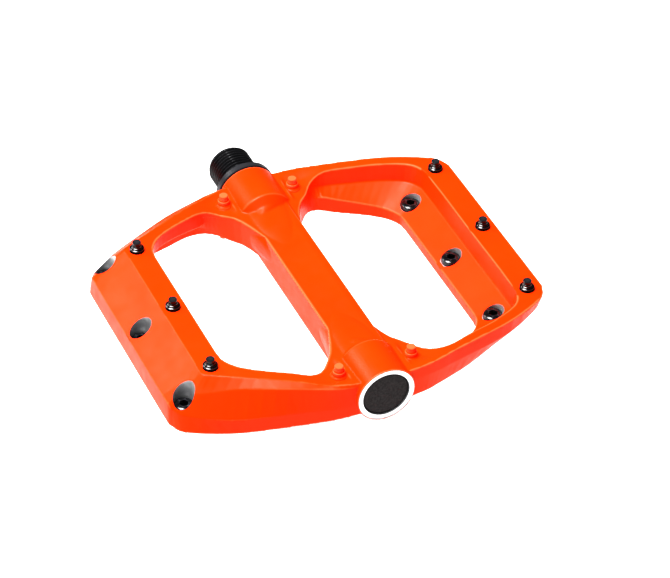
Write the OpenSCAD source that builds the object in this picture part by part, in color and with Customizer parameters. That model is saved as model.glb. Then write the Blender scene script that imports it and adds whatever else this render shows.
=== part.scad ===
// Flat pedal for a bicycle: a forged platform that spins on a stepped axle, on a plain
// bushing next to the crank and on two small ball bearings at the outer end.
// The origin is the middle of the axle's shoulder face. +Y runs out along the threaded end
// towards the crank, +Z is up and +X is the leading edge of the platform.

/* [Platform] */
// Distance between the outer faces of the two rails
platform_w = 122.4; // [110:0.2:147]
// Length of the platform along the axle, between the outer ends of its arms
platform_l = 104.4; // [96:0.2:126]
// Thickness of the rails between their two grip faces
rail_t = 15; // [12.5:0.1:18]
// Width of a rail, from its outer face to the window
rail_w = 18.9; // [17.5:0.1:19.5]
// Width of the strip that the inner row of grip pins stands on
inner_strip_w = 7.7; // [6.5:0.1:9]
// Width of the strip that the outer row of grip pins stands on
outer_strip_w = 8.7; // [7.6:0.1:9]
// Distance between the grip face and the floor of the pocket at its outer edge
pocket_depth = 6.2; // [5:0.1:6.6]
// Depth of the window's wall on the inner side of a rail
window_wall = 3.7; // [3:0.1:4.4]
// Thickness of the arms where they join the spine
root_t = 9.2; // [8.2:0.1:10.6]

/* [Spine] */
// Width of the spine that runs round the axle
spine_w = 13.6; // [12.4:0.1:15]
// Height of the spine
spine_h = 12.6; // [11.6:0.1:14]
// Radius of the boss at the crank end
inboard_boss_r = 9.6; // [9.3:0.05:9.65]
// Radius of the boss at the outer end
outboard_boss_r = 9.3; // [8.8:0.05:10.5]
// Length of each boss before it slopes down to the spine
boss_l = 15; // [14:0.5:19]
// Length of the slope between a boss and the spine
boss_ramp_l = 3.8; // [2:0.2:6]

/* [Grip pins] */
// Radius of a grip pin's thread
pin_thread_r = 2.3; // [1.9:0.05:2.5]
// Radius of a grip pin's head
pin_head_r = 3.05; // [2.7:0.05:3.2]
// Height of a grip pin's head
pin_head_h = 2.1; // [1.6:0.1:2.4]
// Height that a grip pin stands above the grip face
pin_proud = 3.3; // [2:0.1:5]
// Length of a grip pin from its head to its tip
pin_l = 9.7; // [9:0.1:11]
// Distance of the inner row's pins from the window
inner_pin_inset = 4.2; // [3.4:0.1:4.4]
// Distance of the outer row's end pins from the rail's outer face
outer_pin_inset = 5.2; // [4.4:0.1:5.3]
// Distance that the outer row's middle pin stands further out
outer_pin_bow = 0.9; // [0:0.1:1]
// Distance along the rail between two pins of the inner row
inner_pin_pitch = 29.8; // [24:0.1:31]
// Distance along the rail between two pins of the outer row
outer_pin_pitch = 32.5; // [26:0.1:33]
// Across-flats size of the socket in a grip pin's head
pin_socket_af = 2.5; // [2:0.1:3]
// Depth of the socket in a grip pin's head
pin_socket_d = 1.5; // [1:0.1:1.7]
// Radius of the machined pocket round a grip pin's head
counterbore_r = 3.35; // [3.2:0.05:3.5]
// Distance of a forged pin from the axle's centre plane
forged_pin_x = 11.6; // [10.8:0.1:14]
// Distance of a forged pin from the end of the platform
forged_pin_inset = 7.7; // [6.5:0.1:8.5]
// Height of a forged pin above the axle's centre
forged_pin_top = 8.3; // [7:0.1:9]

/* [Axle] */
// Radius of the thread that screws into the crank
thread_r = 7.14; // [6.3:0.01:7.2]
// Length of the threaded end, from the shoulder
thread_l = 12.9; // [10:0.1:16]
// Radius of the axle's flange
flange_r = 9.7; // [9:0.1:11]
// Thickness of the axle's flange
flange_t = 2.6; // [2:0.1:4]
// Radius of the axle where the bushing runs on it
journal_r = 6; // [5:0.1:6.6]
// Radius of the axle inside the spine
mid_r = 4; // [3.8:0.05:4.15]
// Radius of the axle's seat for the ball bearings
seat_r = 3; // [2.6:0.05:3.1]
// Across-flats size of the socket in the axle's threaded end
axle_socket_af = 8; // [6:0.5:8.5]
// Depth of the socket in the axle's threaded end
axle_socket_d = 8; // [5:0.5:12]

/* [Bushing and seal] */
// Outer radius of the bushing
bushing_r = 7.25; // [7:0.05:7.6]
// Length of the bushing
bushing_l = 12; // [8:0.5:13]
// Outer radius of the seal
seal_r = 8.2; // [8:0.05:8.5]
// Width of the seal
seal_w = 2.5; // [2:0.1:3]

/* [Ball bearings] */
// Outer radius of a ball bearing
bearing_r = 6.5; // [6.4:0.05:6.9]
// Width of a ball bearing
bearing_w = 5; // [4.6:0.1:6]
// Radius of a ball
ball_r = 1.19; // [1:0.01:1.22]
// Number of balls in a bearing
ball_count = 8; // [6:1:9]

/* [End nut and cap] */
// Thickness of the washer under the nut
washer_t = 0.8; // [0.5:0.1:1]
// Across-flats size of the nut
nut_af = 10; // [8:0.5:10]
// Height of the nut with its locking ring
nut_h = 4; // [3:0.1:4.2]
// Radius of the recess that takes the end cap
recess_r = 7.5; // [7.3:0.05:7.9]
// Depth of that recess
recess_d = 7.5; // [7:0.1:9]
// Distance that the cap's face sits below the end of the boss
cap_sink = 0.6; // [0.2:0.1:1]
// Thickness of the cap's face
cap_t = 1.4; // [1:0.1:1.8]

/* [Fits] */
// Radial clearance between parts that turn in one another
running_gap = 0.05; // [0.02:0.01:0.1]
// Radial clearance of parts that are screwed or pushed into the platform
seat_gap = 0.02; // [0.01:0.01:0.05]
// Axial gap between parts that turn past one another
side_gap = 0.3; // [0.2:0.05:0.5]

/* [Hidden] */
fine = 96;
small = 48;
overlap = 1;             // how far pieces of one solid run into each other
cut = 0.5;               // how far a cut runs past the face that it opens
bevel = 0.3;             // small chamfer on turned and moulded edges

// Places along the axle
boss_y_in = -flange_t - side_gap;                   // end of the boss at the crank
boss_over = 1;                                      // how far the boss stands past an arm
boss_y_out = boss_y_in - platform_l - 2 * boss_over;
mid_y = (boss_y_in + boss_y_out) / 2;               // middle of the platform
seal_y = boss_y_in - seal_w;
bushing_y = seal_y - bushing_l;
bearing_y = boss_y_out + recess_d;                  // outer face of the outer bearing
shoulder_y = bearing_y + 2 * bearing_w;             // shoulder that the inner bearing meets
washer_y = bearing_y - washer_t;
nut_y = washer_y - nut_h;
stud_over = 0.4;         // how far the axle's end stands past the nut, and its chamfer
stud_y = nut_y - stud_over;
cap_y = boss_y_out + cap_sink;

// Places across the platform
half_w = platform_w / 2;
half_l = platform_l / 2;
half_t = rail_t / 2;
window_x = half_w - rail_w;
strip_x = window_x + inner_strip_w;
band_x = half_w - 0.2;                              // the outer band leans out a little
slope_x = (strip_x + band_x) / 2;
pocket_x = half_w - outer_strip_w;
ledge_low = pocket_depth - half_t;                  // height of the ledge at its outer edge
ledge_high = half_t - window_wall;                  // height of the ledge at the window
bore_r = mid_r + 0.6;

// Places of the grip pins
pin_tip_z = half_t + pin_proud;
pin_head_z = pin_tip_z - pin_l;                     // face of the head on the other side
pin_floor_z = pin_head_z + pin_head_h;
inner_row_x = window_x + inner_pin_inset;
outer_row_x = half_w - outer_pin_inset;
INNER_ROW = [for (i = [-1:1]) [inner_row_x, i * inner_pin_pitch]];
OUTER_ROW = [for (i = [-1:1])
    [outer_row_x + outer_pin_bow * (1 - abs(i)), i * outer_pin_pitch]];
forged_pin_foot = root_t / 2 - 0.3;
forged_foot_r = 2.5;
forged_stem_r = 1.65;
forged_tip_r = 1.2;
ROWS = [for (p = INNER_ROW) [-p[0], p[1]], for (p = OUTER_ROW) p];
pin_point_r = 1.3;       // radius of a grip pin's point
pin_thread_top = half_t + 1;  // the thread shows this far up, then the point begins

// A bearing's races
land_in = seat_r + 1.15;
land_out = bearing_r - 1.2;
pitch_r = (land_in + land_out) / 2;
race_r = ball_r + running_gap;
cage_w = 2.9;
cage_t = 0.64;
shield_t = 0.3;
shield_in = 0.5;         // how far a shield's middle sits in from the bearing's side
shield_y = bearing_w / 2 - shield_in;
shield_r = land_out + 0.25;

// The nut's locking ring, the end cap and its ring
locking_h = 1.2;
locking_r = 4.1;
oring_r = 0.5;
oring_room = 0.05;       // room round the ring in its groove
cap_r = recess_r - 0.1;
cap_wall = 1.2;
cap_skirt = 4;
oring_y = cap_y + cap_t + cap_skirt - 3 * oring_r;

// The spine's narrow shelf, along one upper and one lower edge
shelf_drop = 2.4;
spine_chamfer = 0.8;

PIN_NODES = [for (side = ["top", "bottom"], row = ["inner", "outer"], i = [1:3])
    str("grip_pin_", side, "_", row, "_", i)];
BEARING_PARTS = ["outer_ring", "inner_ring", "balls", "cage", "shields"];
BEARING_NODES = [for (b = ["inner_bearing", "outer_bearing"], p = BEARING_PARTS)
    str(b, "_", p)];

// ---------- Rail loops ----------
// One half of a rail loop is a row of stations from the middle of the rail, along it,
// round the corner and along the arm to the spine. Each edge of the section has one point
// at each station: distance out from the axle, distance from the middle, height.
function arm_x(share) = share * window_x;
function end_v(inset) = half_l - inset;

WINDOW_PLAN = [
    [window_x, 0], [window_x, end_v(28.7)], [window_x - 0.7, end_v(23.7)],
    [arm_x(0.9), end_v(19.1)], [arm_x(0.76), end_v(15.5)], [arm_x(0.6), end_v(12.4)],
    [arm_x(0.5), end_v(10.6)], [arm_x(0.43), end_v(10.4)], [arm_x(0.35), end_v(12.2)],
    [arm_x(0.24), end_v(18)], [spine_w / 2 - 0.6, end_v(28)]];
STRIP_PLAN = [
    [strip_x, 0], [strip_x, end_v(26)], [strip_x, end_v(20.8)],
    [strip_x - 2.6, end_v(18.8)], [arm_x(0.92), end_v(14.6)], [arm_x(0.7), end_v(10)],
    [arm_x(0.5), end_v(5.7)], [arm_x(0.44), end_v(4.7)], [arm_x(0.33), end_v(2.5)],
    [arm_x(0.2), end_v(1.1)], [0, end_v(1)]];
SLOPE_PLAN = [
    [slope_x, 0], [slope_x, end_v(23.2)], [slope_x - 0.5, end_v(19.4)],
    [slope_x - 3.6, end_v(16.5)], [arm_x(0.99), end_v(12.6)], [arm_x(0.74), end_v(7.8)],
    [arm_x(0.52), end_v(4.2)], [arm_x(0.45), end_v(3.1)], [arm_x(0.34), end_v(1.5)],
    [arm_x(0.2), end_v(0.6)], [0, end_v(0.5)]];
BAND_PLAN = [
    [band_x, 0], [band_x, end_v(24.2)], [band_x - 1.1, end_v(18.6)],
    [band_x - 4.8, end_v(14.6)], [arm_x(1.07), end_v(8.4)], [arm_x(0.8), end_v(5.1)],
    [arm_x(0.565), end_v(2.8)], [arm_x(0.48), end_v(1.8)], [arm_x(0.35), end_v(0.7)],
    [arm_x(0.2), end_v(0.2)], [0, end_v(0.1)]];
OUTER_PLAN = [
    [half_w, 0], [half_w, end_v(23.7)], [half_w - 0.6, end_v(18)],
    [half_w - 4, end_v(13.3)], [arm_x(1.08), end_v(8)], [arm_x(0.8), end_v(4.9)],
    [arm_x(0.57), end_v(2.7)], [arm_x(0.48), end_v(1.7)], [arm_x(0.35), end_v(0.6)],
    [arm_x(0.2), end_v(0.1)], [0, half_l]];
POCKET_PLAN = [
    [pocket_x, 0], [pocket_x, end_v(24)], [pocket_x - 0.7, end_v(18)],
    [pocket_x - 4, end_v(13.8)], [arm_x(0.95), end_v(10.2)], [arm_x(0.74), end_v(8)],
    [arm_x(0.555), end_v(6.2)], [arm_x(0.43), end_v(8)], [arm_x(0.34), end_v(12.6)],
    [arm_x(0.23), end_v(18.4)], [spine_w / 2 - 0.6, end_v(28)]];

// How far the faces fall from the rail's height at each station, and the band's height
LAST = len(WINDOW_PLAN) - 1;
POCKET_END = 6;          // last station that has the pocket and its ledge
root_drop = half_t - root_t / 2;
function fall(shares) = [for (share = shares) half_t - share * root_drop];
WINDOW_Z = fall([0, 0, 0, 0.03, 0.17, 0.38, 0.59, 0.69, 0.86, 0.97, 1]);
STRIP_Z = fall([0, 0, 0, 0.02, 0.14, 0.24, 0.43, 0.52, 0.64, 0.69, 0.69]);
OUTER_Z = fall([0, 0, 0, 0, 0.03, 0.1, 0.24, 0.34, 0.45, 0.55, 0.55]);
POCKET_Z = fall([0, 0, 0, 0.02, 0.1, 0.2, 0.41, 0.62, 0.83, 0.97, 1]);
SLOPE_Z = [3.7, 3.7, 3.3, 3.5, 5, 5.5, 5.3, 5.2, 4.9, 4.5, 4.5];
BAND_Z = [0, 0, -1.6, -2.4, -2.4, -2.2, -2, -2, -2, -2, -2];
LEDGE_DROP = [0, 0, 0.2, 0.6, 1.5, 2.7, 3.6];
ledge_step = 1;          // how far the pocket's wall leans in towards its floor

function mix(p, q, t) = p + t * (q - p);
function with_z(p, z) = [p[0], p[1], z];
function floor_at(i) = i <= POCKET_END
    ? with_z(mix(POCKET_PLAN[i], WINDOW_PLAN[i],
        ledge_step / norm(WINDOW_PLAN[i] - POCKET_PLAN[i])), ledge_low)
    : with_z(mix(POCKET_PLAN[i], WINDOW_PLAN[i], 0.2), -POCKET_Z[i] / 2);
function ledge_at(i) = i <= POCKET_END
    ? with_z(WINDOW_PLAN[i], ledge_high - LEDGE_DROP[i])
    : with_z(mix(POCKET_PLAN[i], WINDOW_PLAN[i], 0.7), 1);
SECTIONS = [for (i = [0:LAST]) [
    with_z(WINDOW_PLAN[i], WINDOW_Z[i]),
    with_z(STRIP_PLAN[i], STRIP_Z[i]),
    with_z(SLOPE_PLAN[i], SLOPE_Z[i]),
    with_z(BAND_PLAN[i], BAND_Z[i]),
    with_z(OUTER_PLAN[i], -OUTER_Z[i]),
    with_z(POCKET_PLAN[i], -POCKET_Z[i]),
    floor_at(i),
    ledge_at(i)]];
EDGES = len(SECTIONS[0]);
STEPS = 3;

// A smooth curve through four points in a row, between the middle two
function smooth(a, b, c, d, t) = 0.5 * (2 * b + (c - a) * t
    + (2 * a - 5 * b + 4 * c - d) * t * t + (3 * b - a - 3 * c + d) * t * t * t);
function flip(p) = [p[0], -p[1], p[2]];
function station(i, e) = i < 0 ? flip(SECTIONS[-i][e]) : SECTIONS[min(i, LAST)][e];
function loop_point(s, e) = let (i = floor(s / STEPS), t = s / STEPS - i)
    smooth(station(i - 1, e), station(i, e), station(i + 1, e), station(i + 2, e), t);
RINGS = [for (s = [-LAST * STEPS : LAST * STEPS]) [for (e = [0:EDGES - 1])
    s < 0 ? flip(loop_point(-s, e)) : loop_point(s, e)]];

module rail_loop() {
    points = [for (ring = RINGS, p = ring) [-p[0], mid_y + p[1], p[2]]];
    last = (len(RINGS) - 1) * EDGES;
    sides = [for (s = [0:len(RINGS) - 2], e = [0:EDGES - 1])
        let (a = s * EDGES + e, b = s * EDGES + (e + 1) % EDGES)
        each [[a, b, a + EDGES], [b, b + EDGES, a + EDGES]]];
    fan = 4;             // the caps are fans from the outer face's lower edge
    cap = [for (e = [1:EDGES - 2]) [fan, (fan + e) % EDGES, (fan + e + 1) % EDGES]];
    ends = concat([for (f = cap) [f[0], f[2], f[1]]],
        [for (f = cap) [for (i = f) i + last]]);
    polyhedron(points, concat(sides, ends), convexity = 6);
}

// ---------- Platform ----------
module along_y(y) translate([0, y, 0]) rotate([-90, 0, 0]) children();

module spine() {
    x = spine_w / 2;
    z = spine_h / 2;
    shelf = z - shelf_drop;
    reach = half_l - 2 * overlap;
    half = [[-x, spine_chamfer - z], [-x, shelf - 2.2], [-x + 0.5, shelf - spine_chamfer],
        [-x + 1.3, shelf], [-x + 1.8, z - 0.6], [-x + shelf_drop, z]];
    translate([0, mid_y + reach, 0]) rotate([90, 0, 0])
        linear_extrude(2 * reach) polygon(concat(half, -half));
}

module boss(r) {
    cylinder(h = boss_l, r = r, $fn = fine);
    translate([0, 0, boss_l]) cylinder(h = boss_ramp_l, r1 = r, r2 = spine_h / 2, $fn = fine);
}

module forged_pin() {
    h = forged_pin_top - forged_pin_foot;
    rotate_extrude($fn = small) polygon([[0, -overlap], [forged_foot_r, -overlap],
        [forged_foot_r, 0.1], [1.9, 0.5], [forged_stem_r, 0.9], [forged_stem_r, h * 0.5],
        [forged_tip_r, h * 0.62], [forged_tip_r, h - bevel], [forged_tip_r - bevel, h], [0, h]]);
}

module forged_pins() {
    for (side = [-1, 1], end = [-1, 1], up = [0, 180])
        rotate([0, up, 0]) translate([side * forged_pin_x, mid_y + end * end_v(forged_pin_inset),
            forged_pin_foot]) forged_pin();
}

// Both grip faces carry the same pins, half a turn about the axle apart
module at_pin(place, up) rotate([0, up, 0]) translate([place[0], mid_y + place[1], 0]) children();

module pin_holes() {
    for (up = [0, 180], place = ROWS) at_pin(place, up) {
        translate([0, 0, -pin_tip_z]) cylinder(h = 2 * pin_tip_z, r = pin_thread_r + seat_gap,
            $fn = small);
        translate([0, 0, -pin_tip_z]) cylinder(h = pin_tip_z + pin_floor_z, r = counterbore_r,
            $fn = small);
    }
}

module axle_bores() {
    along_y(boss_y_out - cut) cylinder(h = recess_d + cut, r = recess_r + seat_gap, $fn = fine);
    along_y(bearing_y - cut) cylinder(h = 2 * bearing_w + cut, r = bearing_r + seat_gap,
        $fn = fine);
    along_y(shoulder_y - cut) cylinder(h = -shoulder_y, r = bore_r, $fn = fine);
    along_y(bushing_y) cylinder(h = bushing_l + seal_w + cut, r = bushing_r + seat_gap,
        $fn = fine);
    along_y(seal_y) cylinder(h = seal_w + cut, r = seal_r + seat_gap, $fn = fine);
}

module platform_body() color([1, 0.32, 0]) difference() {
    union() {
        rail_loop();
        rotate([0, 180, 0]) rail_loop();
        spine();
        along_y(boss_y_out) boss(outboard_boss_r);
        translate([0, boss_y_in, 0]) rotate([90, 0, 0]) boss(inboard_boss_r);
        forged_pins();
    }
    axle_bores();
    pin_holes();
}

// ---------- Grip pins ----------
module grip_pin() color([0.06, 0.06, 0.07]) difference() {
    base = pin_thread_top;
    rotate_extrude($fn = small) polygon([[0, pin_head_z], [pin_head_r - bevel, pin_head_z],
        [pin_head_r, pin_head_z + bevel], [pin_head_r, pin_floor_z], [pin_thread_r, pin_floor_z],
        [pin_thread_r, base - bevel], [pin_thread_r - bevel, base], [pin_point_r, base + 0.9],
        [pin_point_r, pin_tip_z - bevel], [pin_point_r - bevel, pin_tip_z], [0, pin_tip_z]]);
    translate([0, 0, pin_head_z - cut]) cylinder(h = pin_socket_d + cut,
        d = pin_socket_af / cos(30), $fn = 6);
}

// ---------- Axle ----------
module axle() color([0.08, 0.08, 0.09]) difference() {
    chamfer = 0.8;
    along_y(0) rotate_extrude($fn = fine) polygon([[0, stud_y], [seat_r - stud_over, stud_y],
        [seat_r, stud_y + stud_over], [seat_r, shoulder_y], [mid_r, shoulder_y],
        [mid_r, bushing_y + side_gap], [journal_r, bushing_y + side_gap + 1],
        [journal_r, -flange_t], [flange_r - bevel, -flange_t], [flange_r, -flange_t + bevel],
        [flange_r, -bevel], [flange_r - bevel, 0], [thread_r, 0], [thread_r, thread_l - chamfer],
        [thread_r - chamfer, thread_l], [0, thread_l]]);
    along_y(thread_l - axle_socket_d) cylinder(h = axle_socket_d + cut,
        d = axle_socket_af / cos(30), $fn = 6);
}

module ring(y, h, r_in, r_out) along_y(y) difference() {
    cylinder(h = h, r = r_out, $fn = fine);
    translate([0, 0, -cut]) cylinder(h = h + 2 * cut, r = r_in, $fn = fine);
}

module axle_seal() color([0.1, 0.1, 0.1]) ring(seal_y, seal_w, journal_r + running_gap, seal_r);

module bushing() color([0.75, 0.72, 0.6])
    ring(bushing_y, bushing_l, journal_r + running_gap, bushing_r);

module axle_washer() color([0.7, 0.7, 0.72])
    ring(washer_y, washer_t, seat_r + seat_gap, land_in);

module axle_nut() color([0.6, 0.6, 0.62]) along_y(nut_y) difference() {
    cylinder(h = nut_h, d = nut_af / cos(30), $fn = 6);
    translate([0, 0, -cut]) cylinder(h = nut_h + 2 * cut, r = seat_r + seat_gap, $fn = fine);
    translate([0, 0, -cut]) cylinder(h = locking_h + cut, r = locking_r, $fn = fine);
}

module nut_locking_ring() color([0.9, 0.9, 0.88])
    ring(nut_y, locking_h, seat_r + seat_gap, locking_r - seat_gap);

// ---------- Ball bearings ----------
module race_cut(y) along_y(y) rotate_extrude($fn = fine) translate([pitch_r, 0])
    circle(r = race_r, $fn = small);

module outer_ring(y) color([0.8, 0.8, 0.82]) difference() {
    ring(y - bearing_w / 2, bearing_w, land_out, bearing_r);
    race_cut(y);
    for (s = [-1, 1]) along_y(y + s * bearing_w / 2 - shield_in) cylinder(h = 2 * shield_in,
        r = shield_r, $fn = fine);
}

module inner_ring(y) color([0.8, 0.8, 0.82]) difference() {
    ring(y - bearing_w / 2, bearing_w, seat_r + seat_gap, land_in);
    race_cut(y);
}

module at_balls(y) along_y(y) for (i = [0:ball_count - 1]) rotate(i * 360 / ball_count)
    translate([pitch_r, 0, 0]) children();

module balls(y) color([0.85, 0.85, 0.87]) at_balls(y) sphere(r = ball_r, $fn = small);

module cage(y) color([0.7, 0.6, 0.35]) difference() {
    ring(y - cage_w / 2, cage_w, pitch_r - cage_t / 2, pitch_r + cage_t / 2);
    at_balls(y) rotate([0, 90, 0]) cylinder(h = 2 * cage_t, r = race_r, center = true,
        $fn = small);
}

module shields(y) color([0.15, 0.15, 0.16]) for (s = [-1, 1])
    ring(y + s * (shield_y + shield_t / 2) - shield_t / 2, shield_t, land_in + 2 * running_gap,
        shield_r - seat_gap);

module bearing_part(part, y) {
    if (part == "outer_ring") outer_ring(y);
    if (part == "inner_ring") inner_ring(y);
    if (part == "balls") balls(y);
    if (part == "cage") cage(y);
    if (part == "shields") shields(y);
}

// ---------- End cap ----------
module end_cap() color([0.13, 0.12, 0.12]) difference() {
    along_y(cap_y) cylinder(h = cap_t + cap_skirt, r = cap_r, $fn = fine);
    along_y(cap_y + cap_t) cylinder(h = cap_skirt + cut, r = cap_r - cap_wall, $fn = fine);
    ring(oring_y - oring_r - oring_room, 2 * (oring_r + oring_room),
        recess_r - 2 * oring_r - oring_room, recess_r + cut);
}

module end_cap_ring() color([0.05, 0.05, 0.05]) along_y(oring_y) rotate_extrude($fn = fine)
    translate([recess_r - oring_r, 0]) circle(r = oring_r, $fn = small);

platform_body();
axle();
axle_seal();
bushing();
axle_washer();
axle_nut();
nut_locking_ring();
end_cap();
end_cap_ring();
for (i = [0:1], j = [0:len(BEARING_PARTS) - 1]) {
    name = BEARING_NODES[i * len(BEARING_PARTS) + j];
    bearing_part(BEARING_PARTS[j],
        shoulder_y - bearing_w * (0.5 + i));
}
for (side = [0:1], k = [0:len(ROWS) - 1]) {
    name = PIN_NODES[side * len(ROWS) + k];
    at_pin(ROWS[k], side * 180) grip_pin();
}
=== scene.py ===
import math

import bmesh
import bpy
import numpy as np
from mathutils import Matrix, Vector


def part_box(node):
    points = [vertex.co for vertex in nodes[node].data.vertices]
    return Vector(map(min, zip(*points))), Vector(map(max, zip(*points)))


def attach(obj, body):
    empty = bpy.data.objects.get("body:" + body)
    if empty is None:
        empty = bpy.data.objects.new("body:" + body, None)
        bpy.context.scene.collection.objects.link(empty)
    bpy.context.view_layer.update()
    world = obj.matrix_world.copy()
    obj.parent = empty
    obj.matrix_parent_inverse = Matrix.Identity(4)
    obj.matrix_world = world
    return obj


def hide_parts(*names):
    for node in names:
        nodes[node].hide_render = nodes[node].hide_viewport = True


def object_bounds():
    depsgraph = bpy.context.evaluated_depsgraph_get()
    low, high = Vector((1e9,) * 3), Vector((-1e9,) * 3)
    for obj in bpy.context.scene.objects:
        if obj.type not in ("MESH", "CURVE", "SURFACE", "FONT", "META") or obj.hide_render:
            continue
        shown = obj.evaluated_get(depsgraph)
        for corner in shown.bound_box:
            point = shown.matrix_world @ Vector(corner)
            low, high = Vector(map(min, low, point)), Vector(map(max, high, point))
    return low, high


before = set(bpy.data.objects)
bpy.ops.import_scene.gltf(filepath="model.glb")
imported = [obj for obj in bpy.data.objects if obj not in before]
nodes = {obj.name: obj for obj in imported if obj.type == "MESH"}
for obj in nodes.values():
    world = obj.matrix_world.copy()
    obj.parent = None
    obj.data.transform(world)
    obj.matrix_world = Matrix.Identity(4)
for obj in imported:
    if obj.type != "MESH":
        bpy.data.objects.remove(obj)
cad_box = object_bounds()
scene = bpy.context.scene
MM = 0.001


# ---------- Places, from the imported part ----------
def middle(node):
    low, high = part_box(node)
    return (low + high) / 2


def radius(node, axis=0):
    low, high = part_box(node)
    return (high[axis] - low[axis]) / 2


BODY_LOW, BODY_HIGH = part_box("platform_body")
MID_Y = (BODY_LOW.y + BODY_HIGH.y) / 2
BOSS_IN, BOSS_OUT = BODY_HIGH.y, BODY_LOW.y
PINS = sorted(n for n in nodes if n.startswith("grip_pin_"))
TIP_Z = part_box("grip_pin_top_inner_1")[1].z
PIN_STANDS = 3.3                  # mm of a pin above the rail
RAIL_Z = TIP_Z - PIN_STANDS * MM  # grip face of a rail
HEAD_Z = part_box("grip_pin_top_inner_1")[0].z
HEAD_H = 2.1 * MM
COUNTERBORE_R = 3.35 * MM
PIN_HOLE_R = 2.32 * MM
BORE_R = 4.6 * MM                 # between the inner bearing and the bushing
GAP = 0.02 * MM                   # round a bearing, bushing, seal or cap ring
PAST = 1.0                        # mm that a cutting tool runs past the metal
BORES = [  # radius and the two ends along the axle of each step of the bore
    (radius("end_cap_ring") + GAP, BOSS_OUT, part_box("outer_bearing_outer_ring")[0].y),
    (radius("inner_bearing_outer_ring") + GAP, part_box("outer_bearing_outer_ring")[0].y,
     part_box("inner_bearing_outer_ring")[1].y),
    (BORE_R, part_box("inner_bearing_outer_ring")[1].y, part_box("bushing")[0].y),
    (radius("bushing") + GAP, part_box("bushing")[0].y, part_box("axle_seal")[0].y),
    (radius("axle_seal") + GAP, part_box("axle_seal")[0].y, BOSS_IN),
]


# ---------- Mesh tools ----------
def add_object(name, mesh):
    o = bpy.data.objects.new(name, mesh)
    scene.collection.objects.link(o)
    return o


def finish_mesh(mesh, angle=35):
    mesh.shade_smooth()
    mesh.set_sharp_from_angle(angle=math.radians(angle))


def lathe(name, profile, material, segments=64, thread=None):
    """Turns (radius, height) points in mm about local Z. thread(height, turn) is added to the radius."""
    bm = bmesh.new()
    rings = []
    for r, h in profile:
        if r == 0:
            rings.append([bm.verts.new((0, 0, h * MM))] * segments)
            continue
        ring = []
        for i in range(segments):
            a = 2 * math.pi * i / segments
            rr = r + (thread(h, i / segments) if thread else 0)
            ring.append(bm.verts.new((rr * MM * math.cos(a), rr * MM * math.sin(a), h * MM)))
        rings.append(ring)
    for low, high in zip(rings, rings[1:]):
        for i in range(segments):
            j = (i + 1) % segments
            corners = []
            for v in (low[i], low[j], high[j], high[i]):
                if v not in corners:
                    corners.append(v)
            if len(corners) > 2:
                bm.faces.new(corners)
    bmesh.ops.recalc_face_normals(bm, faces=bm.faces)
    mesh = bpy.data.meshes.new(name)
    bm.to_mesh(mesh)
    bm.free()
    mesh.materials.append(material)
    finish_mesh(mesh)
    return mesh


def prism(name, across_flats, low, high, material):
    """A hexagonal prism along local Z, in mm."""
    r = across_flats / 2 / math.cos(math.pi / 6)
    return lathe(name, [(0, low), (r, low), (r, high), (0, high)], material, 6)


def along_y(y=0.0):
    """Local Z becomes the row's +Y."""
    return Matrix.Translation((0, y, 0)) @ Matrix.Rotation(-math.pi / 2, 4, "X")


def apply_modifiers(o):
    evaluated = o.evaluated_get(bpy.context.evaluated_depsgraph_get())
    mesh = bpy.data.meshes.new_from_object(evaluated)
    o.modifiers.clear()
    old, o.data = o.data, mesh
    bpy.data.meshes.remove(old)


def combine(o, tool, operation):
    """Joins or cuts with the tool, whose own material stays on the faces that it makes."""
    m = o.modifiers.new(operation, "BOOLEAN")
    m.operation, m.object, m.solver = operation, tool, "MANIFOLD"
    m.material_mode = "TRANSFER"
    apply_modifiers(o)
    data = tool.data
    bpy.data.objects.remove(tool)
    bpy.data.meshes.remove(data)


def placed(name, mesh, matrix):
    mesh = mesh.copy()
    mesh.transform(matrix)
    if matrix.determinant() < 0:
        mesh.flip_normals()
    return add_object(name, mesh)


# ---------- Materials ----------
def socket_value(shader, values):
    for key, value in values.items():
        shader.inputs[key].default_value = value


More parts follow.
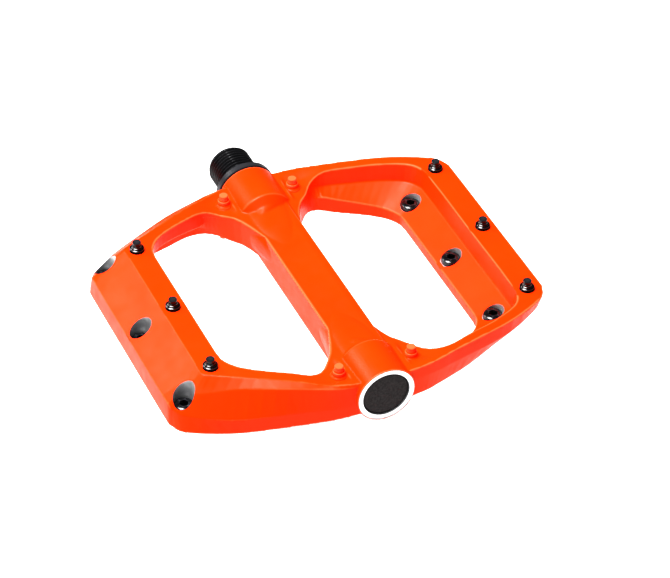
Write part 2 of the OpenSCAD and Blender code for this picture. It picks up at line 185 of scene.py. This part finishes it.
class Surface:
    """A Principled material built from noise in the object's own coordinates."""

    def __init__(self, name, **values):
        self.material = bpy.data.materials.new(name)
        self.material.use_nodes = True
        self.tree = self.material.node_tree
        self.shader = self.tree.nodes["Principled BSDF"]
        socket_value(self.shader, values)
        self.place = self.tree.nodes.new("ShaderNodeTexCoord").outputs["Object"]
        self.normal = None

    def link(self, a, b):
        self.tree.links.new(a, b)

    def noise(self, scale, detail=3.0, stretch=(1, 1, 1)):
        mapping = self.tree.nodes.new("ShaderNodeMapping")
        mapping.inputs["Scale"].default_value = stretch
        self.link(self.place, mapping.inputs["Vector"])
        n = self.tree.nodes.new("ShaderNodeTexNoise")
        n.inputs["Scale"].default_value = scale
        n.inputs["Detail"].default_value = detail
        self.link(mapping.outputs["Vector"], n.inputs["Vector"])
        return n.outputs["Fac"]

    def ramp(self, source, stops):
        r = self.tree.nodes.new("ShaderNodeValToRGB")
        for i, (at, colour) in enumerate(stops):
            e = r.color_ramp.elements[i] if i < 2 else r.color_ramp.elements.new(at)
            e.position, e.color = at, (*colour, 1)
        self.link(source, r.inputs["Fac"])
        return r.outputs["Color"]

    def spread(self, source, low, high, start=0.3, end=0.7):
        m = self.tree.nodes.new("ShaderNodeMapRange")
        m.inputs["From Min"].default_value = start
        m.inputs["From Max"].default_value = end
        m.inputs["To Min"].default_value = low
        m.inputs["To Max"].default_value = high
        self.link(source, m.inputs["Value"])
        return m.outputs["Result"]

    def edges(self):
        """0 on flat metal and 1 on an outer edge; the mask of a painted edge highlight."""
        return self.spread(self.tree.nodes.new("ShaderNodeNewGeometry").outputs["Pointiness"],
                           0, 1, 0.525, 0.58)

    def mix(self, share, a, b):
        m = self.tree.nodes.new("ShaderNodeMix")
        m.data_type = "RGBA"                  # its colours are inputs 6 and 7
        self.link(share, m.inputs[0])
        for source, s in ((a, m.inputs[6]), (b, m.inputs[7])):
            if isinstance(source, tuple):
                s.default_value = (*source, 1)
            else:
                self.link(source, s)
        return m.outputs[2]

    def bump(self, height, strength, distance):
        b = self.tree.nodes.new("ShaderNodeBump")
        b.inputs["Strength"].default_value = strength
        b.inputs["Distance"].default_value = distance
        self.link(height, b.inputs["Height"])
        if self.normal:
            self.link(self.normal, b.inputs["Normal"])
        self.normal = b.outputs["Normal"]
        self.link(self.normal, self.shader.inputs["Normal"])

    def finish(self, colour, rough):
        self.link(colour, self.shader.inputs["Base Color"])
        self.link(rough, self.shader.inputs["Roughness"])
        return self.material


def simple(name, dark, light, rough, scale, grain, strength, edge_highlight=None, stretch=(1, 1, 1),
           **values):
    """Colour and roughness that vary over the surface, a fine grain, and a painted highlight that
    lightens outer edges.
    """
    s = Surface(name, **values)
    colour = s.ramp(s.noise(scale, 4), [(0.3, dark), (0.7, light)])
    # painted highlight: outer edges are lightened towards the given edge colour
    if edge_highlight:
        colour = s.mix(s.edges(), colour, edge_highlight)
    s.bump(s.noise(grain, 2, stretch), strength, 0.05 * MM)
    return s.finish(colour, s.spread(s.noise(scale * 3, 3), *rough))


def paint():
    s = Surface("orange_paint", **{"Coat Weight": 0.0, "Specular IOR Level": 0.14})
    colour = s.ramp(s.noise(35, 3), [(0.3, (0.97, 0.046, 0.0)), (0.7, (1.0, 0.053, 0.0))])
    # painted highlight: rims and edges that stand out are lightened towards pale orange (1.0, 0.19,
    # 0.08)
    rim_highlight = s.tree.nodes.new("ShaderNodeAttribute")
    rim_highlight.attribute_name = "rim_highlight"
    colour = s.mix(s.spread(rim_highlight.outputs["Fac"], 0, 0.6, 0.035, 0.12), colour, (1.0, 0.19, 0.08))
    s.bump(s.noise(900, 2), 0.12, 0.05 * MM)      # orange peel
    s.bump(s.noise(140, 2), 0.02, 0.2 * MM)       # the forging's slow waviness
    return s.finish(colour, s.spread(s.noise(220, 3), 0.3, 0.42))


PAINT = paint()
BARE = simple("bare_bored_metal", (0.5, 0.5, 0.51), (0.74, 0.74, 0.75), (0.34, 0.46), 300,
              260, 0.5, stretch=(1, 1, 9), Metallic=0.6)
FACED_METAL = simple("bare_faced_metal", (0.86, 0.86, 0.87), (0.95, 0.95, 0.96), (0.3, 0.4),
                     300, 900, 0.2, Metallic=0.7)
# the last colour, (0.04, 0.04, 0.045), is a painted highlight on outer edges
AXLE = simple("black_oxide_steel", (0.004, 0.004, 0.005), (0.009, 0.009, 0.01), (0.26, 0.4),
              160, 1500, 0.15, (0.04, 0.04, 0.045), **{"Specular IOR Level": 0.4})
# the last colour, (0.03, 0.03, 0.035), is a painted highlight on outer edges
PIN = simple("black_plated_steel", (0.001, 0.001, 0.0015), (0.003, 0.003, 0.0035), (0.14, 0.24),
             400, 2200, 0.1, (0.03, 0.03, 0.035), **{"Specular IOR Level": 0.5})
CAP = simple("matte_cap_plastic", (0.018, 0.013, 0.013), (0.05, 0.04, 0.04), (0.55, 0.7),
             1400, 2600, 1.0, **{"Specular IOR Level": 0.3})
RUBBER = simple("black_rubber", (0.012, 0.012, 0.012), (0.022, 0.022, 0.022), (0.6, 0.8),
                300, 2000, 0.3)
BUSHING = simple("bushing_polymer", (0.5, 0.42, 0.25), (0.62, 0.54, 0.34), (0.45, 0.6), 300,
                 1500, 0.2)
BEARING = simple("bearing_steel", (0.66, 0.66, 0.68), (0.8, 0.8, 0.82), (0.08, 0.16), 400,
                 2500, 0.05, Metallic=1.0)
CAGE = simple("brass_cage", (0.6, 0.42, 0.16), (0.72, 0.52, 0.22), (0.25, 0.4), 400, 1800,
              0.15, Metallic=1.0)
ZINC = simple("zinc_plate", (0.5, 0.51, 0.53), (0.66, 0.67, 0.69), (0.28, 0.42), 300, 1600,
              0.2, Metallic=1.0)
NYLON = simple("white_nylon", (0.72, 0.72, 0.7), (0.82, 0.82, 0.8), (0.35, 0.5), 300, 1600,
               0.15)


# ---------- Platform ----------
RIM_BLUR = 8                      # rounds of averaging that an edge is compared with, for the painted rim highlight
WELD = 0.002 * MM                 # points of the solid's mesh nearer than this are one
RIM_SLACK = 0.05 * MM             # a hole's rim is looked for this far outside its radius
VOXEL = 0.25 * MM
BLEND_ROUNDS, SOFTEN_ROUNDS = 12, 5
# In mm from the body's middle and the axle: where the spine is smoothed into a boss
BLEND_ALONG, BLEND_FADE = (26, 42), 4
BLEND_HALF_W, BLEND_SIDE_FADE = 13, 3
# The dish: its depth, the heights that it leaves alone, and where it starts, is full and ends
DISH_DEPTH, DISH_ABOVE = 0.85, 3.4
DISH_ALONG, DISH_ACROSS = (36, 41, 46.2, 50.2), (9.2, 10.6, 14, 24)
FORGED_X, FORGED_V = 11.7, 44.5   # of a forged pin, from the spine's middle, in mm
FORGED_FOOT, FORGED_TOP = 4.45, 8.28
RING_R, FACED = 9.0, 0.2          # machined ring round the cap: its radius and depth in mm


def close_holes(bm):
    """Takes out the walls and floors of the holes, and closes each rim where it lies."""
    holes = []
    for name in PINS:
        c = middle(name)
        holes.append(lambda p, c=c: math.hypot(p.x - c.x, p.y - c.y) < COUNTERBORE_R + RIM_SLACK)
    widest = max(r for r, _, _ in BORES) + RIM_SLACK
    holes.append(lambda p: math.hypot(p.x, p.z) < widest)
    for inside in holes:
        gone = [f for f in bm.faces if all(inside(v.co) for v in f.verts)]
        bmesh.ops.delete(bm, geom=gone, context="FACES")
    rims = [e for e in bm.edges if e.is_boundary]
    bmesh.ops.holes_fill(bm, edges=rims, sides=0)
    bmesh.ops.triangulate(bm, faces=[f for f in bm.faces if len(f.verts) > 4])


def loft(name, sections):
    """A closed form through rings of points, each ring a list of (x, y, z) in mm."""
    bm = bmesh.new()
    rings = [[bm.verts.new(Vector(p) * MM) for p in ring] for ring in sections]
    count = len(rings[0])
    for low, high in zip(rings, rings[1:]):
        for i in range(count):
            j = (i + 1) % count
            bm.faces.new((low[i], low[j], high[j], high[i]))
    bm.faces.new(rings[0])
    bm.faces.new(rings[-1])
    bmesh.ops.recalc_face_normals(bm, faces=bm.faces)
    mesh = bpy.data.meshes.new(name)
    bm.to_mesh(mesh)
    bm.free()
    mesh.materials.append(PAINT)
    return mesh


# The spine swells into each boss: distance from the middle, half width, half height, and
# how square the section is (2 is an ellipse)
FLARE = [(13, 5.8, 4.6, 2.2), (19, 6.6, 5.2, 2.4), (23, 7.2, 5.6, 2.6), (27, 7.9, 6.0, 2.8),
         (30, 8.4, 6.1, 2.8), (33, 8.8, 6.2, 2.8), (36, 9.1, 6.3, 2.6), (39, 9.2, 6.4, 2.4)]


def flare(end):
    sections = []
    for v, w, h, power in FLARE:
        ring = []
        for i in range(64):
            a = 2 * math.pi * i / 64
            c, d = math.cos(a), math.sin(a)
            ring.append((math.copysign(abs(c) ** (2 / power), c) * w, MID_Y / MM + end * v,
                         math.copysign(abs(d) ** (2 / power), d) * h))
        sections.append(ring)
    return loft("flare", sections)


def join_into(o, meshes):
    bm = bmesh.new()
    bm.from_mesh(o.data)
    for m in meshes:
        bm.from_mesh(m)
    bm.to_mesh(o.data)
    bm.free()


def near_boss(p):
    """1 where the spine runs into a boss, falling to 0 round it."""
    v, x = abs(p.y - MID_Y) / MM, abs(p.x) / MM
    start, end = BLEND_ALONG
    along = min(max((v - start) / BLEND_FADE, 0), max((end - v) / BLEND_FADE, 0), 1)
    return along * min(max((BLEND_HALF_W - x) / BLEND_SIDE_FADE, 0), 1)


def bell(value, low, full_from, full_to, high):
    """0 outside low to high and 1 between the two middle values, with soft shoulders."""
    t = min(max((value - low) / (full_from - low), 0), max((high - value) / (high - full_to), 0), 1)
    return t * t * (3 - 2 * t)


def dish(mesh):
    """The arms are slightly dished on both faces round the feet of the forged pins."""
    for v in mesh.vertices:
        along, across = abs(v.co.y - MID_Y) / MM, abs(v.co.x) / MM
        if abs(v.co.z) > DISH_ABOVE * MM and across < DISH_ACROSS[-1]:
            depth = DISH_DEPTH * bell(along, *DISH_ALONG) * bell(across, *DISH_ACROSS)
            v.co.z -= math.copysign(depth * MM, v.co.z)


def forged_body():
    bm = bmesh.new()
    bm.from_mesh(nodes["platform_body"].data)
    bmesh.ops.remove_doubles(bm, verts=bm.verts, dist=WELD)
    close_holes(bm)
    mesh = bpy.data.meshes.new("platform")
    bm.to_mesh(mesh)
    bm.free()
    o = add_object("platform", mesh)
    mesh.materials.clear()
    mesh.materials.append(PAINT)
    join_into(o, [flare(-1), flare(1)])
    m = o.modifiers.new("remesh", "REMESH")
    m.mode, m.voxel_size = "VOXEL", VOXEL
    apply_modifiers(o)
    dish(o.data)
    group = o.vertex_groups.new(name="boss")
    for v in o.data.vertices:
        weight = near_boss(v.co)
        if weight > 0:
            group.add([v.index], weight, "REPLACE")
    m = o.modifiers.new("blend", "SMOOTH")
    m.factor, m.iterations, m.vertex_group = 0.5, BLEND_ROUNDS, "boss"
    m = o.modifiers.new("soften", "SMOOTH")
    m.factor, m.iterations = 0.5, SOFTEN_ROUNDS
    apply_modifiers(o)
    return o


def many(name, mesh, matrices):
    """Copies of one mesh as one tool."""
    bm = bmesh.new()
    for matrix in matrices:
        one = mesh.copy()
        one.transform(matrix)
        bm.from_mesh(one)
        bpy.data.meshes.remove(one)
    tool = mesh.copy()
    bm.to_mesh(tool)
    bm.free()
    return add_object(name, tool)


def add_forged_pins(o):
    """Small stepped pins that are forged with the body, two at each end of both faces."""
    foot, top = FORGED_FOOT, FORGED_TOP
    stem = foot + (top - foot) * 0.5
    pin = lathe("forged_pin", [(0, foot - 2), (3.1, foot - 2), (3.1, foot - 0.35),
                               (2.75, foot - 0.1), (2.55, foot + 0.25), (2.3, foot + 0.5),
                               (2.0, foot + 0.65), (1.85, foot + 0.85), (1.85, stem - 0.1),
                               (1.75, stem), (1.45, stem + 0.15), (1.38, stem + 0.3),
                               (1.38, top - 0.2), (1.2, top), (0, top)], PAINT, 48)
    places = [Matrix.Rotation(turn, 4, "Y")
              @ Matrix.Translation((side * FORGED_X * MM, MID_Y + end * FORGED_V * MM, 0))
              for turn in (0, math.pi) for side in (-1, 1) for end in (-1, 1)]
    combine(o, many("forged_pins", pin, places), "UNION")


body = forged_body()
add_forged_pins(body)


def cut_bores():
    """The stepped bore, and the flat machined face that rings the cap."""
    profile = [(0, BORES[0][1] / MM - PAST)]
    for i, (r, low, high) in enumerate(BORES):
        low -= PAST * MM if i == 0 else 0
        high += PAST * MM if i == len(BORES) - 1 else 0
        profile += [(r / MM, low / MM), (r / MM, high / MM)]
    profile.append((0, BORES[-1][2] / MM + PAST))
    combine(body, placed("bore", lathe("bore", profile, BARE, 128), along_y()), "DIFFERENCE")
    end = BOSS_OUT / MM
    face = lathe("face", [(0, end - PAST), (RING_R, end - PAST), (RING_R, end + FACED),
                          (0, end + FACED)], FACED_METAL, 128)
    combine(body, placed("face", face, along_y()), "DIFFERENCE")


def cut_pin_holes():
    floor = (HEAD_Z + HEAD_H) / MM
    tip, head = TIP_Z / MM + PAST, -TIP_Z / MM - PAST
    hole = lathe("hole", [(0, head), (COUNTERBORE_R / MM, head), (COUNTERBORE_R / MM, floor),
                          (PIN_HOLE_R / MM, floor), (PIN_HOLE_R / MM, tip), (0, tip)], BARE, 64)
    combine(body, many("holes", hole, [pin_matrix(name) for name in PINS]), "DIFFERENCE")


def pin_matrix(name):
    """Puts a pin that points up at its own place."""
    c = middle(name)
    turn = Matrix.Rotation(math.pi if "_bottom_" in name else 0, 4, "Y")
    return Matrix.Translation((c.x, c.y, 0)) @ turn


def mark_rim_highlight(mesh):
    """Stores how far each point stands out from the surface round it, in mm, which the paint uses for a
    painted highlight along rims and edges.
    """
    count = len(mesh.vertices)
    place, normal = np.empty(count * 3, "f"), np.empty(count * 3, "f")
    ends = np.empty(len(mesh.edges) * 2, "i")
    mesh.vertices.foreach_get("co", place)
    mesh.vertices.foreach_get("normal", normal)
    mesh.edges.foreach_get("vertices", ends)
    place, normal = place.reshape(-1, 3), normal.reshape(-1, 3)
    a, b = ends.reshape(-1, 2).T
    shares = (np.bincount(a, minlength=count) + np.bincount(b, minlength=count))[:, None]
    wide = place
    for _ in range(RIM_BLUR):
        total = [np.bincount(a, wide[b, k], count) + np.bincount(b, wide[a, k], count)
                 for k in range(3)]
        wide = np.stack(total, 1) / shares
    height = ((place - wide) * normal).sum(1) / MM
    for name in PINS:                              # the drilled holes get no painted rim highlight
        c = middle(name)
        height[np.hypot(place[:, 0] - c.x, place[:, 1] - c.y) < COUNTERBORE_R + MM] = 0
    rim_highlight = mesh.attributes.new("rim_highlight", "FLOAT", "POINT")
    rim_highlight.data.foreach_set("value", np.clip(height, 0, 1).astype("f"))


cut_bores()
cut_pin_holes()
mark_rim_highlight(body.data)
finish_mesh(body.data, 40)
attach(body, "platform")
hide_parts("platform_body")


# ---------- Threads ----------
def vee(depth, pitch, low, high, run_out):
    """A right-hand vee thread: how far the surface is below its crest, in mm."""
    def below(h, turn):
        share = (h / pitch - turn) % 1
        fade = min(max((h - low) / run_out, 0), max((high - h) / run_out, 0), 1)
        return -depth * fade * abs(2 * share - 1) ** 1.2
    return below


def rows(r, low, high, step):
    count = max(2, round((high - low) / step))
    return [(r, low + (high - low) * i / count) for i in range(count + 1)]


# ---------- Grip pins ----------
SOCKET_FLATS, SOCKET_DEEP = 2.5, 1.5   # hex socket in the head of a grip pin, in mm


def grip_pin():
    """A hex-socket screw whose stepped tip grips the shoe."""
    head, tip, rail = HEAD_Z / MM, TIP_Z / MM, RAIL_Z / MM
    floor, thread_end = head + HEAD_H / MM, rail + 1.0
    thread = vee(0.34, 0.8, floor, thread_end, 0.3)
    low, high = floor + 0.1, thread_end
    profile = ([(0, head), (1.9, head), (2.55, head + 0.14), (2.9, head + 0.42),
                (3.03, head + 0.8), (3.03, floor - 0.15), (2.9, floor), (2.2, floor)]
               + rows(2.28, low, high, 0.09)
               + [(2.0, high + 0.12), (1.8, high + 0.3), (1.8, high + 0.55),
                  (1.55, high + 0.7), (1.48, high + 1.15), (1.3, high + 1.3),
                  (1.28, tip - 0.4), (1.34, tip - 0.3), (1.34, tip - 0.14), (1.2, tip),
                  (0, tip)])
    return lathe("grip_pin", profile, PIN, 48,
                 lambda h, turn: thread(h, turn) if low <= h <= high else 0)


blank = add_object("blank", grip_pin())
socket = prism("socket", SOCKET_FLATS, HEAD_Z / MM - PAST, HEAD_Z / MM + SOCKET_DEEP, PIN)
combine(blank, add_object("socket", socket), "DIFFERENCE")
finish_mesh(blank.data, 30)
for name in PINS:
    pin = placed(name + "_detail", blank.data, pin_matrix(name))
    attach(pin, "platform")
    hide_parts(name)
bpy.data.objects.remove(blank)


# ---------- Axle ----------
def axle():
    low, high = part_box("axle")
    stud, end = low.y / MM, high.y / MM
    flange = radius("axle") / MM
    crest, journal, neck, seat = 7.14, 6.0, 4.0, 3.0      # radii from the crank end inwards
    key_flats, key_deep = 8, 8
    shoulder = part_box("inner_bearing_outer_ring")[1].y / MM
    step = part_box("bushing")[0].y / MM + 0.3
    under = -2.6
    cut = vee(0.74, 1.27, 1.7, end - 0.3, 0.7)
    stud_cut = vee(0.3, 0.8, stud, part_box("axle_washer")[0].y / MM, 0.3)
    profile = ([(0, stud), (seat - 0.4, stud)] + rows(seat, stud + 0.4, stud + 4.2, 0.1)
               + [(seat, shoulder), (neck, shoulder), (neck, step), (journal, step + 1),
                  (journal, under), (flange - 0.35, under), (flange, under + 0.35),
                  (flange, -0.4), (flange - 0.4, 0), (crest - 0.55, 0), (crest - 0.6, 0.15),
                  (crest - 0.6, 1.4)]
               + rows(crest, 1.7, end - 0.7, 0.115)
               + [(crest - 0.45, end - 0.25), (crest - 0.8, end), (0, end)])

    def thread_of(h, turn):
        if 1.6 <= h <= end - 0.6:
            return cut(h, turn)
        return stud_cut(h, turn) if stud + 0.3 < h < stud + 4.3 else 0

    o = placed("axle_threaded", lathe("axle", profile, AXLE, 128, thread_of), along_y())
    tool = prism("socket", key_flats, end - key_deep, end + PAST, AXLE)
    combine(o, placed("socket", tool, along_y()), "DIFFERENCE")
    finish_mesh(o.data, 30)
    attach(o, "axle")
    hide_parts("axle")


axle()


# ---------- End cap ----------
def end_cap():
    low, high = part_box("end_cap")
    ring_low, ring_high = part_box("end_cap_ring")
    r, face, back = radius("end_cap") / MM, low.y / MM, high.y / MM
    groove, ring_a, ring_b = radius("end_cap_ring") / MM - 1.05, ring_low.y / MM, ring_high.y / MM
    profile = [(0, face + 0.08), (4.5, face + 0.04), (r - 0.75, face), (r - 0.3, face + 0.08),
               (r - 0.06, face + 0.3), (r, face + 0.6), (r, ring_a - 0.05),
               (groove, ring_a - 0.05), (groove, ring_b + 0.05), (r, ring_b + 0.05), (r, back),
               (r - 1.2, back), (r - 1.2, face + 1.4), (0, face + 1.4)]
    o = placed("cap_moulded", lathe("cap", profile, CAP, 96), along_y())
    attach(o, "platform")
    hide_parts("end_cap")


end_cap()

# ---------- Materials of the nodes that stay ----------
KEPT = {"axle_seal": RUBBER, "bushing": BUSHING, "axle_washer": ZINC, "axle_nut": ZINC,
        "nut_locking_ring": NYLON, "end_cap_ring": RUBBER}
for bearing in ("inner_bearing", "outer_bearing"):
    KEPT.update({bearing + "_outer_ring": BEARING, bearing + "_inner_ring": BEARING,
                 bearing + "_balls": BEARING, bearing + "_cage": CAGE,
                 bearing + "_shields": RUBBER})
for name, material in KEPT.items():
    for s in nodes[name].material_slots:
        s.material = material

# ---------- Camera, floor and light ----------
CAMERA_ROUND, CAMERA_UP, CAMERA_ROLL = 24.99, 39.128, 1.659     # degrees
CAMERA_AWAY = 0.95                                  # metres from the aim point
AIM = Vector((-0.61, MID_Y / MM - 16.33, 12.67)) * MM


def look(around, up, roll):
    """The camera's turn: round from -Y, up from the floor, and tilted about its own axis."""
    return (Matrix.Rotation(math.radians(-around), 4, "Z")
            @ Matrix.Rotation(math.radians(90 - up), 4, "X")
            @ Matrix.Rotation(math.radians(roll), 4, "Z"))


camera = bpy.data.objects.new("camera", bpy.data.cameras.new("camera"))
scene.collection.objects.link(camera)
camera.data.lens, camera.data.sensor_width = 170.1, 36
camera.data.clip_start, camera.data.clip_end = 0.05, 20
turn = look(CAMERA_ROUND, CAMERA_UP, CAMERA_ROLL)
camera.matrix_world = Matrix.Translation(AIM + CAMERA_AWAY * turn.col[2].xyz) @ turn
scene.camera = camera


def plain(name, colour, rough):
    s = Surface(name)
    light = tuple(min(1, c * 1.01) for c in colour)
    return s.finish(s.ramp(s.noise(6, 2), [(0.3, colour), (0.7, light)]),
                    s.spread(s.noise(8, 2), rough, rough + 0.05))


bpy.ops.mesh.primitive_plane_add(size=8, location=(0, MID_Y, cad_box[0].z - 0.09))
floor = bpy.context.object
floor.name = "floor"
floor.data.materials.append(plain("pale_floor", (0.93, 0.93, 0.93), 0.8))


def area(name, place, size, power, colour=(1, 1, 1)):
    light = bpy.data.lights.new(name, "AREA")
    light.shape, light.size, light.size_y = "RECTANGLE", size[0], size[1]
    light.energy, light.color = power, colour
    o = bpy.data.objects.new(name, light)
    scene.collection.objects.link(o)
    o.location = place
    aim = Vector((0, MID_Y, 0)) - Vector(place)
    o.rotation_euler = aim.to_track_quat("-Z", "Y").to_euler()


area("overhead", (-0.3, 0.0, 1.0), (0.5, 0.5), 20)
area("left_back", (-0.3, 0.28, 0.33), (0.2, 0.2), 1.0)
area("front_fill", (0.3, -1.1, 0.3), (0.6, 0.3), 0.7)
world = bpy.data.worlds.new("studio")
scene.world = world
world.use_nodes = True
background = world.node_tree.nodes["Background"]
background.inputs["Color"].default_value = (1, 1, 1, 1)
background.inputs["Strength"].default_value = 0.12
scene.view_settings.view_transform = "Standard"
scene.view_settings.look = "High Contrast"
